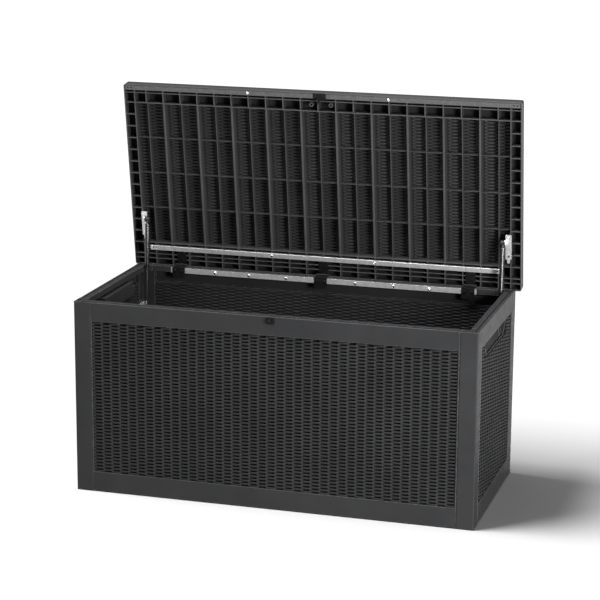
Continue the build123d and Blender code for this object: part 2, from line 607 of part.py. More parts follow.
def lid_shell():
    """Skin with planks on top, a skirt all round and ribs below."""
    half, rear, front = LID_HALF, LID_REAR, LID_FRONT
    outer = lid_block(-half, half, rear, front, LID_UNDER, SKIN_OUT)
    outer = fillet(outer.edges().filter_by(Axis.Z), LID_CORNER)
    outer = fillet(outer.faces().sort_by(Axis.Z)[-1].edges(), LID_EDGE)
    outer = fuse([outer] + [plank_prism(k, 0.0, 0.0) for k in range(PLANKS)])
    hollow = lid_block(-half + WALL, half - WALL, rear + WALL, front - WALL, 0, SKIN_IN)
    hollow = fuse([hollow] + [plank_prism(k, WALL, WALL) for k in range(PLANKS)])
    shell = outer.cut(hollow.cut(*lid_ribs(), *lid_bosses()))
    screws = LID_BAR_SCREWS + LID_LEAF_SCREWS + LID_BRACKET_SCREWS + LUG_SCREWS
    holes = [screw_hole(place) for place in screws]
    latch_y = HINGE_Y - LATCH_BOSS_S
    hole_r, hole_deep = LATCH_BOSS_HOLE
    holes += [rod((x, latch_y, HINGE_Z), (x, latch_y, HINGE_Z + hole_deep), hole_r) for x in LATCH_BOSSES]
    return cut(shell, lid_seats() + holes)


def channel_bar(half, s_range, places):
    """Pressed steel channel let into the underside of the lid, with two holes at each end."""
    s0, s1 = s_range
    low, high = LID_UNDER, LID_UNDER + BAR_DEEP
    bar = lid_block(-half, half, s0, s1, low, high)
    bar = fillet(bar.edges().filter_by(Axis.X).group_by(Axis.Z)[0], BAR_ROUND)
    inside = lid_block(-half - OVERCUT, half + OVERCUT, s0 + BAR_SHEET, s1 - BAR_SHEET,
                       low + BAR_SHEET, high + OVERCUT)
    y = HINGE_Y - (s0 + s1) / 2
    end_x = [side * (half - inset) for side in (-1, 1) for inset in BAR_END_HOLES]
    ends = [rod((x, y, HINGE_Z), (x, y, HINGE_Z + low + 2 * BAR_SHEET), BAR_END_HOLE_R) for x in end_x]
    return cut(bar, [inside] + ends + [screw_hole(place) for place in places])


def lid_front_bar():
    return channel_bar(FRONT_BAR_HALF, FRONT_BAR_S, LID_BAR_SCREWS + LUG_SCREWS)


def lid_rear_bar():
    return channel_bar(REAR_BAR_HALF, REAR_BAR_S, LID_BAR_SCREWS)


# ---- padlock fittings ----
def padlock_staple():
    """Plate on the front rail with an upright eye for a padlock."""
    face, half, y = -DEPTH / 2, TAB_THICK / 2, -DEPTH / 2 - EYE_OUT
    plate = block(-STAPLE_HALF, STAPLE_HALF, face - PLATE_THICK, face,
                  STAPLE_Z - STAPLE_HALF_TALL, STAPLE_Z + STAPLE_HALF_TALL)
    plate = fillet(plate.edges().filter_by(Axis.Y), FITTING_CORNER)
    eye = fuse([block(-half, half, y, face - PLATE_THICK / 2, STAPLE_Z - EYE_OUTER_R, STAPLE_Z + EYE_OUTER_R),
                rod((-half, y, STAPLE_Z), (half, y, STAPLE_Z), EYE_OUTER_R)])
    hole = rod((-TAB_THICK, y, STAPLE_Z), (TAB_THICK, y, STAPLE_Z), EYE_R)
    return cut(fuse([plate, eye]), [hole] + [sunk_seat(place) for place in STAPLE_SCREWS])


def padlock_lug():
    """Closed pose: foot on the lid's front bar and a tongue that hangs beside the staple's eye."""
    x0 = TAB_THICK / 2 + TAB_GAP
    x1 = x0 + TAB_THICK
    y = -DEPTH / 2 - EYE_OUT
    front, back = y - EYE_OUTER_R, y + TONGUE_BACK
    foot = lid_block(*LUG_X, *LUG_S, LID_UNDER - PLATE_THICK, LID_UNDER)
    foot = fillet(foot.edges().filter_by(Axis.Z), FITTING_CORNER)
    end = rod((x0, y, STAPLE_Z), (x1, y, STAPLE_Z), EYE_OUTER_R)
    tongue = fuse([block(x0, x1, front, back, STAPLE_Z, HINGE_Z + LID_UNDER - PLATE_THICK / 2),
                   end & block(x0, x1, front - OVERCUT, back, 0, HEIGHT)])
    hole = rod((x0 - OVERCUT, y, STAPLE_Z), (x1 + OVERCUT, y, STAPLE_Z), EYE_R)
    return cut(fuse([foot, tongue]), [hole] + [screw_hole(place) for place in LUG_SCREWS])


# ---- gas struts, right-hand side ----
def rivet_seat(y, z):
    """Hole for a ball stud's rivet, through a plate near the side wall."""
    return rod((EAR_X[0] - 10, y, z), (WALL_PLATE_X[1] + 10, y, z), RIVET_SEAT_R)


def wall_bracket():
    """Steel plate on the side wall's pad."""
    pivot = box_pivot()
    plate = block(*WALL_PLATE_X, *WALL_PLATE_Y, pivot.Z - WALL_PLATE_HALF, pivot.Z + WALL_PLATE_HALF)
    plate = fillet(plate.edges().filter_by(Axis.X), WALL_PLATE_CORNER)
    seats = [sunk_seat(place) for place in RIGHT_WALL_PLATE_SCREWS]
    return cut(plate, [rivet_seat(pivot.Y, pivot.Z)] + seats)


def lid_bracket():
    """Closed pose: plate in the lid's side border with an ear for the ball stud."""
    low, high = LID_UNDER, LID_UNDER + PLATE_THICK
    y, z = HINGE_Y - LID_PIVOT_S, HINGE_Z + LID_PIVOT_N
    plate = lid_block(*BRACKET_X, *BRACKET_S, low, high)
    plate = fillet(plate.edges().filter_by(Axis.Z), BRACKET_CORNER)
    tail = lid_block(BRACKET_X[0] + 5, BRACKET_X[1] - 5, BRACKET_TAIL_S, BRACKET_S[0] + 2, low, high)
    ear = fuse([lid_block(*EAR_X, LID_PIVOT_S - EAR_R, LID_PIVOT_S + EAR_R, LID_PIVOT_N, high),
                rod((EAR_X[0], y, z), (EAR_X[1], y, z), EAR_R)])
    seats = [sunk_seat(place) for place in RIGHT_LID_BRACKET_SCREWS]
    return cut(fuse([plate, tail, ear]), [rivet_seat(y, z)] + seats)


def ball_stud(x, y, z, shoulder, back):
    """Ball on a neck, riveted through a plate whose front is at x = shoulder."""
    meet = sqrt(BALL_R**2 - STUD_NECK_R**2)
    step, end = shoulder - 0.1 - x, back - 0.05 - x
    outline = ThreePointArc((-BALL_R, 0), (0, BALL_R), (meet, STUD_NECK_R))
    outline += Polyline((meet, STUD_NECK_R), (step, STUD_NECK_R), (step, RIVET_R), (end, RIVET_R),
                        (end, 0), (-BALL_R, 0))
    return Pos(x, y, z) * revolve(make_face(outline), Axis.X)


def wall_ball_stud():
    pivot = box_pivot()
    return ball_stud(pivot.X, pivot.Y, pivot.Z, *WALL_PLATE_X)


def lid_ball_stud():
    return ball_stud(STRUT_X, HINGE_Y - LID_PIVOT_S, HINGE_Z + LID_PIVOT_N, *EAR_X)


def strut_frame(from_lid):
    """Place whose +Z runs along the strut from one of its balls to the other."""
    top, bottom = lid_pivot(), box_pivot()
    start, end = (top, bottom) if from_lid else (bottom, top)
    return Plane(origin=start, x_dir=(1, 0, 0), z_dir=end - start).location


def ball_socket():
    """Socket round a ball at the origin, open towards +X, with its neck along +Z."""
    cup = Pos(SOCKET_MIDDLE, 0, 0) * Rot(0, 90, 0) * Cylinder(SOCKET_R, SOCKET_LENGTH)
    body = fuse([cup, upright(NECK_R, 0, NECK_END)])
    cavity = Sphere(BALL_R + BALL_CLEAR)
    mouth = Rot(0, 90, 0) * upright(SOCKET_MOUTH_R, 0, SOCKET_LENGTH)
    return cut(body, [cavity, mouth])


def strut_tube():
    """Pressure tube, closed at the lid's end, with a threaded end in its socket."""
    body = upright(TUBE_R, TUBE_START, TUBE_END)
    body = fillet(body.edges().filter_by(GeomType.CIRCLE), TUBE_ROUND)
    bore = upright(TUBE_BORE, TUBE_START + TUBE_END_WALL, TUBE_END - TUBE_LIP)
    mouth = upright(ROD_R + ROD_CLEAR, TUBE_END - TUBE_LIP - OVERCUT, TUBE_END + OVERCUT)
    thread = upright(THREAD_R, NECK_END, TUBE_START + 1.0)
    return strut_frame(True) * fuse([body, thread]).cut(bore, mouth)


def strut_tube_socket():
    return strut_frame(True) * ball_socket()


def strut_rod_guide():
    """Ring in the open end of the tube that the rod runs through."""
    ring = upright(TUBE_BORE - GUIDE_CLEAR, GUIDE_TOP - GUIDE_LENGTH, GUIDE_TOP)
    return strut_frame(True) * ring.cut(upright(ROD_R + GUIDE_CLEAR, 0, TUBE_END))


def piston_low():
    """Distance of the piston's lower face from the lid ball, strut fully out."""
    return GUIDE_TOP - GUIDE_LENGTH - PISTON_GAP


def strut_rod():
    """Polished rod from the lower socket to the piston."""
    length = (lid_pivot() - box_pivot()).length
    end = length - (piston_low() - PISTON_LENGTH)
    return strut_frame(False) * upright(ROD_R, NECK_END, end)


def strut_piston():
    """Ring on the end of the rod, inside the tube."""
    length = (lid_pivot() - box_pivot()).length
    low = length - piston_low()
    ring = upright(TUBE_BORE - PISTON_CLEAR, low, low + PISTON_LENGTH - PISTON_GAP)
    return strut_frame(False) * ring.cut(upright(ROD_R + PISTON_BORE_CLEAR, 0, length))


def strut_rod_socket():
    return strut_frame(False) * ball_socket()


# ---- all nodes ----
def screw_group(places, kind=screw):
    return Compound(children=[kind(p) for p in places])


def lid_screw_group(places, kind=screw):
    return Compound(children=[opened(kind(p)) for p in places])


def build_parts():
    nodes = {
        "floor_panel": floor_panel(),
        "front_panel": front_panel(),
        "back_panel": back_panel(),
        "rear_wall_bar": rear_wall_bar(),
        "padlock_staple": padlock_staple(),
        "lid_shell": opened(lid_shell()),
        "lid_front_bar": opened(lid_front_bar()),
        "lid_rear_bar": opened(lid_rear_bar()),
        "padlock_lug": opened(padlock_lug()),
        "hinge_wall_screws": screw_group(BOX_LEAF_SCREWS),
        "wall_bar_screws": screw_group(WALL_BAR_SCREWS),
        "strut_wall_screws": screw_group(WALL_PLATE_SCREWS, sunk_screw),
        "staple_screws": screw_group(STAPLE_SCREWS, sunk_screw),
        "hinge_lid_screws": lid_screw_group(LID_LEAF_SCREWS, sunk_screw),
        "lid_bar_screws": lid_screw_group(LID_BAR_SCREWS),
        "strut_lid_screws": lid_screw_group(LID_BRACKET_SCREWS, sunk_screw),
        "padlock_lug_screws": lid_screw_group(LUG_SCREWS),
    }
    for name, x in zip(HINGE_NAMES, HINGE_X):
        nodes[f"{name}_hinge_box_leaf"] = box_leaf(x)
        nodes[f"{name}_hinge_lid_leaf"] = opened(lid_leaf(x))
        nodes[f"{name}_hinge_pin"] = hinge_pin(x)
    right = {
        "side_panel": side_panel(),
        "front_corner_post": corner_post(),
        "rear_corner_post": corner_post().mirror(Plane.XZ),
        "strut_wall_bracket": wall_bracket(),
        "strut_wall_ball_stud": wall_ball_stud(),
        "strut_lid_bracket": opened(lid_bracket()),
        "strut_lid_ball_stud": opened(lid_ball_stud()),
        "strut_tube": strut_tube(),
        "strut_tube_socket": strut_tube_socket(),
        "strut_rod_guide": strut_rod_guide(),
        "strut_rod": strut_rod(),
        "strut_piston": strut_piston(),
        "strut_rod_socket": strut_rod_socket(),
    }
    for name, shape in right.items():
        nodes[f"right_{name}"] = shape
        nodes[f"left_{name}"] = mirrored(shape)
    return nodes


os.makedirs("parts", exist_ok=True)
for node, shape in build_parts().items():
    export_step(shape, f"parts/{node}.step")
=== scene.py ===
import json
import math

import bpy
import numpy as np
from mathutils import Matrix, Vector

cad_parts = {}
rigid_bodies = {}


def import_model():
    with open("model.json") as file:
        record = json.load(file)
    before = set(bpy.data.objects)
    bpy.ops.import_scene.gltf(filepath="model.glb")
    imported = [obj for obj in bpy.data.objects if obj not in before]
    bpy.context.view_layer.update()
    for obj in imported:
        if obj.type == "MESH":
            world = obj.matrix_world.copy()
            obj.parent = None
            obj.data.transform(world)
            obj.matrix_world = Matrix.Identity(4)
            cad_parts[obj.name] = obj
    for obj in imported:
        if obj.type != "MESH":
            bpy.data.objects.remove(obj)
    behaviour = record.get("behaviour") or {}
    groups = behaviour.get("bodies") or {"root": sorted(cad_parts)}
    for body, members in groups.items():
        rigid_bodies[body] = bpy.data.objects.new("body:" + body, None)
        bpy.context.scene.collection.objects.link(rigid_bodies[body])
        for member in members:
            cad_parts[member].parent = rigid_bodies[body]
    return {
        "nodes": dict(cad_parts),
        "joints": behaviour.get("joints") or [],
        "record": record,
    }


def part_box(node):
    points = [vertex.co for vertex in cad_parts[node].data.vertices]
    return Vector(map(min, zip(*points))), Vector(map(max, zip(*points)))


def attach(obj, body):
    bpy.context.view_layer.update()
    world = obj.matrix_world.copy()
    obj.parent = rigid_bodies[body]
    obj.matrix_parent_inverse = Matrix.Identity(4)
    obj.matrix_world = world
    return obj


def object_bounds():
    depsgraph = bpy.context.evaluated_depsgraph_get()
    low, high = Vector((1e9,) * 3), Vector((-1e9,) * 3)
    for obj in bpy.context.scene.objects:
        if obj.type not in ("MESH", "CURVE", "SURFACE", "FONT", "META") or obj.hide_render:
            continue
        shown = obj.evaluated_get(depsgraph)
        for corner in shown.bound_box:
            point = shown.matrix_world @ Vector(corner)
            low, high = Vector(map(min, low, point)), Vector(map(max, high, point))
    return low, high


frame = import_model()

cad_low, cad_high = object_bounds()
NODES = frame["nodes"]
MM = 0.001

# ---- sizes taken from the frame, in metres ----
HINGE = next(j for j in frame["joints"] if j["name"] == "lid_hinge")
HINGE_Y, HINGE_Z = HINGE["pos_m"][1:]
LID_OPEN = math.radians(HINGE["range_deg"][1])
FRONT_LOW, FRONT_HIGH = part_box("front_panel")
SIDE_LOW, SIDE_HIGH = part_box("right_side_panel")
OUT_Y = -FRONT_LOW.y             # outer face of the front rails
OUT_X = SIDE_HIGH.x              # outer face of the side rails
RIM_Z = FRONT_HIGH.z

# ---- sizes of the moulding, in metres ----
WALL = 3 * MM
FIELD_DEEP = 12 * MM             # plain field of a wall, behind its rails
TOP_RAIL = 56 * MM
BOTTOM_RAIL = 61 * MM
PLANKS = 11
PLANK = 2 * OUT_X / PLANKS
PLANK_GAP = 8 * MM
SKIN_OUT = 32 * MM               # lid skin above the hinge axis, lid closed
PLANK_STEP = 2 * MM              # edge of a plank above the skin
PLANK_CROWN = 5.5 * MM           # middle of a plank above the skin
PLANK_INSET = 11 * MM            # plain border of the lid in front of and behind the planks
PLANK_EDGE = 5 * MM              # plain border of a plank round its weave
LID_FRONT = 580 * MM             # front and rear of the lid, forward of the hinge axis
LID_REAR = -7 * MM
RIB_REAR, RIB_FRONT = 68 * MM, 523 * MM    # ends of the lid's long ribs, forward of the hinge axis
FIELD_INSET = 26 * MM            # from a panel's end, hidden behind its post, to its woven field
GRIP_HALF = 152 * MM             # half the length of the grip recess, with its edge
GRIP_LOW = 473 * MM              # lower edge of the grip recess, above the ground
RIB_SHADE_LOW, RIB_SHADE_HIGH = 3 * MM, 26 * MM      # the lid's ribs are painted dark as shade between these heights above its axis

# ---- surfaces ----
ROUNDING = 0.8 * MM              # radius that softens the resin's sharp edges
HIGHLIGHT_BAND = 2.2 * MM                   # width of the painted highlight band along an edge
WAVINESS = 0.35 * MM             # height of the slow unevenness of a moulded face
# black painted as shade into the weave's holes and between the lid's ribs
PAINTED_SHADE_BLACK = (0.002, 0.002, 0.002)
SHARP_ANGLE = math.radians(50)   # edges of the relief sharper than this stay sharp

# ---- weave ----
COLUMN = 26.5 * MM               # from one upright to the next
STRAND = 5.1 * MM                # from one strand to the next
OVER = 1.5 * MM                  # a strand rises and falls by this about its middle
ROUND = 1.2 * MM                 # depth of the crease between two strands
HOLE = 5.6 * MM                  # a strand drops this much further where it passes behind
HOLE_EDGE = (0.30, 0.72)         # share of the fall at which the hole begins and is deepest
SHADOW_GAP = 3.0 * MM            # open line between the weave and the top rail
SHADE_RATE, SHADE_START = 3.2, 0.95     # how fast and how far down a hollow of the weave is painted dark as shade
ARCH = 0.96                      # share of a half circle that a strand's section takes up
UNEVEN = 0.04                    # spread of the strands' heights, as a share of OVER
INSIDE_OVER = 0.6 * MM           # the same heights where the weave shows on the inside of a wall
INSIDE_ROUND = 0.6 * MM
INSIDE_LIFT = 1.0 * MM           # middle of the inside relief, off the wall
INSIDE_BACK = -1.3 * MM
BACK_MARGIN = 1 * MM             # how far a relief's back runs on into the wall
PLANK_OVER, PLANK_ROUND, PLANK_HOLE = 0.9 * MM, 0.8 * MM, 1.2 * MM
PLANK_LIFT, PLANK_BACK = 2.4 * MM, -3.2 * MM
BAY_OVER, BAY_ROUND = 0.7 * MM, 0.6 * MM   # in the bays between the lid's ribs
BAY_LIFT, BAY_BACK = 1.4 * MM, -1.5 * MM
BAY_MARGIN = 2 * MM
TUCK = 0.3 * MM                  # how far a woven piece runs into what frames it
RISE = OVER + ROUND + HOLE       # the deepest hole ends at the plain field

# Steps of the mesh along one column, and across one strand from its lower edge to its upper one.
LONG_STEPS, SHORT_STEPS, INSIDE_STEPS, PLANK_STEPS, BAY_STEPS = 9, 10, 5, 8, 6
FINE = (-1.0, -0.45, 0.45, 1.0)
PLAIN = (-0.9, 0.0, 0.9)

# ---- woven fields of the walls ----
FIELD_LOW, FIELD_HIGH = BOTTOM_RAIL - TUCK, RIM_Z - TOP_RAIL - SHADOW_GAP
FIELD_TALL = FIELD_HIGH - FIELD_LOW
FRONT_HALF = FRONT_HIGH.x - FIELD_INSET + TUCK
SIDE_HALF = SIDE_HIGH.y - FIELD_INSET + TUCK

random = np.random.default_rng(41)


# ---- shader helpers ----
def new_material(name):
    """Empty material with a Principled shader. Returns it, its nodes' tree and the shader."""
    material = bpy.data.materials.new(name)
    material.use_nodes = True
    tree = material.node_tree
    shader = tree.nodes["Principled BSDF"]
    return material, tree, shader


def node(tree, kind, inputs=(), **values):
    """Node with some of its properties and input values set."""
    made = tree.nodes.new(kind)
    for key, value in values.items():
        setattr(made, key, value)
    for key, value in dict(inputs).items():
        made.inputs[key].default_value = value
    return made


def noise(tree, scale, detail=3.0, roughness=0.55, stretch=(1, 1, 1)):
    """Noise in the object's own metres; scale is in features per metre."""
    place = node(tree, "ShaderNodeTexCoord")
    mapping = node(tree, "ShaderNodeMapping", {"Scale": stretch})
    texture = node(tree, "ShaderNodeTexNoise", {"Scale": scale, "Detail": detail, "Roughness": roughness})
    tree.links.new(place.outputs["Object"], mapping.inputs["Vector"])
    tree.links.new(mapping.outputs["Vector"], texture.inputs["Vector"])
    return texture.outputs["Fac"]


def ramp(tree, source, stops):
    """Colour ramp over a value; stops are (position, colour)."""
    made = node(tree, "ShaderNodeValToRGB")
    elements = made.color_ramp.elements
    for element, (position, colour) in zip(elements, (stops[0], stops[-1])):
        element.position, element.color = position, (*colour, 1)
    for position, colour in stops[1:-1]:
        elements.new(position).color = (*colour, 1)
    tree.links.new(source, made.inputs["Fac"])
    return made.outputs["Color"]


def spread(tree, source, low, high):
    """Maps the middle of a noise to a range of values."""
    made = node(tree, "ShaderNodeMapRange",
                {"From Min": 0.3, "From Max": 0.7, "To Min": low, "To Max": high})
    tree.links.new(source, made.inputs["Value"])
    return made.outputs["Result"]


def bump(tree, source, height, normal=None):
    """Bump of the given height in metres, on top of another normal."""
    made = node(tree, "ShaderNodeBump", {"Strength": 1.0, "Distance": height})
    tree.links.new(source, made.inputs["Height"])
    if normal is not None:
        tree.links.new(normal, made.inputs["Normal"])
    return made.outputs["Normal"]


def soft_edges(tree, radius):
    """Normal that rounds every sharp edge, as a moulding or a pressing has."""
    return node(tree, "ShaderNodeBevel", {"Radius": radius}, samples=6).outputs["Normal"]


def edge_highlight_share(tree, radius):
    """Value that is 0 on open faces and rises along sharp edges, where a highlight is painted."""
    rounded = node(tree, "ShaderNodeBevel", {"Radius": radius}, samples=6)
    plain = node(tree, "ShaderNodeNewGeometry")
    compare = node(tree, "ShaderNodeVectorMath", operation="DOT_PRODUCT")
    tree.links.new(rounded.outputs["Normal"], compare.inputs[0])
    tree.links.new(plain.outputs["Normal"], compare.inputs[1])
    share = node(tree, "ShaderNodeMapRange",
                 {"From Min": 0.98, "From Max": 0.75, "To Min": 0.0, "To Max": 1.0})
    tree.links.new(compare.outputs["Value"], share.inputs["Value"])
    return share.outputs["Result"]


def blend_colour(tree, share, first, second):
    """Mix of two colour outputs by a value."""
    mix = node(tree, "ShaderNodeMix", data_type="RGBA")
    tree.links.new(share, mix.inputs["Factor"])
    tree.links.new(first, mix.inputs["A"])
    tree.links.new(second, mix.inputs["B"])
    return mix.outputs["Result"]


def weave_shade_share(tree):
    """How deep a point lies in the weave, from 0 on a strand to 1 in a hole; it sets the painted shade in
    the holes.
    """
    return node(tree, "ShaderNodeAttribute", attribute_name="weave_shade").outputs["Fac"]


def lid_rib_shade_share(tree):
    """How deep a point lies among the lid's ribs, from 0 at their tips to 1 at the skin; it sets the
    painted shade there.
    """
    place = node(tree, "ShaderNodeTexCoord")
    up = (0, math.sin(LID_OPEN), math.cos(LID_OPEN))
    along = node(tree, "ShaderNodeVectorMath", operation="DOT_PRODUCT")
    along.inputs[1].default_value = up
    tree.links.new(place.outputs["Object"], along.inputs[0])
    start = HINGE_Y * up[1] + HINGE_Z * up[2]
    share = node(tree, "ShaderNodeMapRange", {"From Min": start + RIB_SHADE_LOW, "From Max": start + RIB_SHADE_HIGH})
    tree.links.new(along.outputs["Value"], share.inputs["Value"])
    return share.outputs["Result"]


def resin(name, dark, light, gloss, grain, highlight_gain, painted_shade=None, sheen=0.5):
    """Moulded resin: mottled, finely grained, with a painted highlight along its edges and painted shade
    where it is deep.
    """
    material, tree, shader = new_material(name)
    shader.inputs["Specular IOR Level"].default_value = sheen
    mottle = ramp(tree, noise(tree, 9, 5), [(0.3, dark), (0.7, light)])
    # painted highlight: the edges are coloured paler, up to a multiple of the light colour
    edge_highlight = node(tree, "ShaderNodeMix", data_type="RGBA")
    edge_highlight.inputs["B"].default_value = (*[highlight_gain * c for c in light], 1)
    share = node(tree, "ShaderNodeMath", operation="MULTIPLY")
    tree.links.new(edge_highlight_share(tree, HIGHLIGHT_BAND), share.inputs[0])
    tree.links.new(spread(tree, noise(tree, 60, 4), 0.25, 0.9), share.inputs[1])
    tree.links.new(share.outputs["Value"], edge_highlight.inputs["Factor"])
    tree.links.new(mottle, edge_highlight.inputs["A"])
    shade = edge_highlight.outputs["Result"]
    # painted shade: the deep parts are coloured black
    if painted_shade is not None:
        black = node(tree, "ShaderNodeRGB")
        black.outputs[0].default_value = (*PAINTED_SHADE_BLACK, 1)
        shade = blend_colour(tree, painted_shade(tree), shade, black.outputs[0])
    tree.links.new(shade, shader.inputs["Base Color"])
    rough = spread(tree, noise(tree, 35, 6), gloss - 0.07, gloss + 0.07)
    if painted_shade is not None:
        dull = node(tree, "ShaderNodeMath", operation="MAXIMUM")
        tree.links.new(rough, dull.inputs[0])
        tree.links.new(painted_shade(tree), dull.inputs[1])
        rough = dull.outputs["Value"]
    tree.links.new(rough, shader.inputs["Roughness"])
    fine = bump(tree, noise(tree, 1500, 2), grain, soft_edges(tree, ROUNDING))
    coarse = bump(tree, noise(tree, 22, 2), WAVINESS, fine)
    tree.links.new(coarse, shader.inputs["Normal"])
    return material


def coated_steel(name, colour, gloss, orange_peel, sheen=0.5):
    """Powder coat, paint or dyed nylon, with a faint orange peel and dust."""
    material, tree, shader = new_material(name)
    shader.inputs["Specular IOR Level"].default_value = sheen
    pale = [2.0 * c + 0.003 for c in colour]
    shade = ramp(tree, noise(tree, 150, 5), [(0.45, colour), (0.85, pale)])
    tree.links.new(shade, shader.inputs["Base Color"])
    tree.links.new(spread(tree, noise(tree, 90, 4), gloss - 0.06, gloss + 0.1), shader.inputs["Roughness"])
    peel = bump(tree, noise(tree, 700, 2), orange_peel, soft_edges(tree, 0.5 * MM))
    tree.links.new(peel, shader.inputs["Normal"])
    return material


def galvanised(name, dark, light):
    """Zinc-coated sheet, slightly dulled, with soft crystal patches and rolling lines."""
    material, tree, shader = new_material(name)
    shader.inputs["Metallic"].default_value = 0.8
    place = node(tree, "ShaderNodeTexCoord")
    crystals = node(tree, "ShaderNodeTexVoronoi", {"Scale": 140.0})
    tree.links.new(place.outputs["Object"], crystals.inputs["Vector"])
    split = node(tree, "ShaderNodeSeparateColor")
    tree.links.new(crystals.outputs["Color"], split.inputs["Color"])
    shade = ramp(tree, split.outputs["Red"], [(0.0, dark), (1.0, light)])
    tree.links.new(shade, shader.inputs["Base Color"])
    tree.links.new(spread(tree, noise(tree, 240, 4), 0.3, 0.46), shader.inputs["Roughness"])
    lines = bump(tree, noise(tree, 900, 2, stretch=(0.02, 1, 1)), 0.02 * MM, soft_edges(tree, 0.6 * MM))
    tree.links.new(lines, shader.inputs["Normal"])
    return material


def polished(name, colour, rough):
    """Ground and polished steel with fine lathe marks."""
    material, tree, shader = new_material(name)
    shader.inputs["Metallic"].default_value = 1.0
    shade = ramp(tree, noise(tree, 60, 4), [(0.3, [0.9 * c for c in colour]), (0.7, colour)])
    tree.links.new(shade, shader.inputs["Base Color"])
    gloss = spread(tree, noise(tree, 300, 3), rough - 0.04, rough + 0.06)
    tree.links.new(gloss, shader.inputs["Roughness"])
    marks = bump(tree, noise(tree, 2500, 2, stretch=(0.1, 0.1, 1)), 0.006 * MM, soft_edges(tree, 0.4 * MM))
    tree.links.new(marks, shader.inputs["Normal"])
    return material


def floor_material():
    """Matt pale floor."""
    material, tree, shader = new_material("pale_floor")
    shade = ramp(tree, noise(tree, 1.5, 3), [(0.3, (0.90, 0.90, 0.90)), (0.7, (0.92, 0.92, 0.92))])
    tree.links.new(shade, shader.inputs["Base Color"])
    shader.inputs["Roughness"].default_value = 0.9
    shader.inputs["Specular IOR Level"].default_value = 0.1
    return material


RESIN = resin("resin_smooth", (0.014, 0.0142, 0.0148), (0.017, 0.0172, 0.0178), 0.44, 0.03 * MM, 8.0,
              sheen=0.10)
# the weave's resin: a darker copy of the smooth resin, the difference painted shade, with painted shade in
# the holes and a painted edge highlight
WOVEN = resin("resin_woven", (0.010, 0.0102, 0.0106), (0.014, 0.0142, 0.0146), 0.56, 0.03 * MM, 2.4,
              painted_shade=weave_shade_share, sheen=0.10)
# the lid's resin: a paler copy of the smooth resin, painted lighter on the rib tips, with painted shade
# towards the skin
RIBBED = resin("resin_ribbed", (0.024, 0.0243, 0.0249), (0.030, 0.0303, 0.0309), 0.42, 0.04 * MM, 2.0,
               painted_shade=lid_rib_shade_share, sheen=0.35)
# the resin on the inside of the walls and under the lid: a darker copy, the difference painted shade, with
# painted shade in the hollows
INNER = resin("resin_inner_weave", (0.010, 0.0102, 0.0105), (0.014, 0.0142, 0.0145), 0.5, 0.03 * MM, 1.6,
              painted_shade=weave_shade_share, sheen=0.25)
GREY_COAT = coated_steel("dark_grey_coat", (0.034, 0.034, 0.036), 0.38, 0.03 * MM)
COATED = coated_steel("black_coat", (0.002, 0.002, 0.0022), 0.5, 0.03 * MM, sheen=0.12)
TUBE = coated_steel("tube_paint", (0.005, 0.005, 0.006), 0.22, 0.01 * MM)
NYLON = coated_steel("black_nylon", (0.008, 0.008, 0.009), 0.48, 0.02 * MM, sheen=0.3)
ZINC = galvanised("zinc_sheet", (0.52, 0.52, 0.52), (0.62, 0.62, 0.62))
CHROME = polished("polished_rod", (0.86, 0.86, 0.88), 0.12)
SCREW = polished("screw_zinc", (0.80, 0.80, 0.81), 0.24)

MATERIAL_OF_SLOT = {
    "resin": RESIN,
    "black_coated_steel": COATED,
    "grey_coated_steel": GREY_COAT,
    "zinc_steel": ZINC,
    "polished_steel": CHROME,
    "screw_steel": SCREW,
    "black_painted_tube": TUBE,
    "black_nylon": NYLON,
}


def paint_frame():
    """Every CAD node gets the material of its slot."""
    slots = {part["node"]: part["material_slot"] for part in frame["record"]["subparts"]}
    for name, part in NODES.items():
        material = RIBBED if name == "lid_shell" else MATERIAL_OF_SLOT[slots[name]]
        part.data.materials.clear()
        part.data.materials.append(material)


# ---- woven relief ----
def strand_height(u, row, across, over, crease, hole):
    """Height of a strand at u along it; across is -1 to 1 from its lower edge to its upper one."""
    wave = np.cos(math.pi * (u / COLUMN + row))
    begin, end = HOLE_EDGE
    fall = np.clip((-wave - begin) / (end - begin), 0, 1)
    behind = fall * fall * (3 - 2 * fall)
    return over * wave - hole * behind + crease * (np.sqrt(1 - (ARCH * across) ** 2) - 1)


def woven(width, height, steps, profile, over, crease, hole):
    """Relief of a woven field: u, v and the height at each point, v from 0 to height."""
    columns = max(2, round(width / COLUMN * steps))
    rows = round(height / STRAND)
    u = np.linspace(-width / 2, width / 2, columns + 1)
    v, h = [], []
    for row in range(rows):
        lift = random.normal(0, UNEVEN) * over
        for across in profile:
            v.append((row + 0.5 + 0.5 * across) * height / rows)
            h.append(strand_height(u, row, across, over, crease, hole) + lift)
    return u, np.array(v), np.array(h)


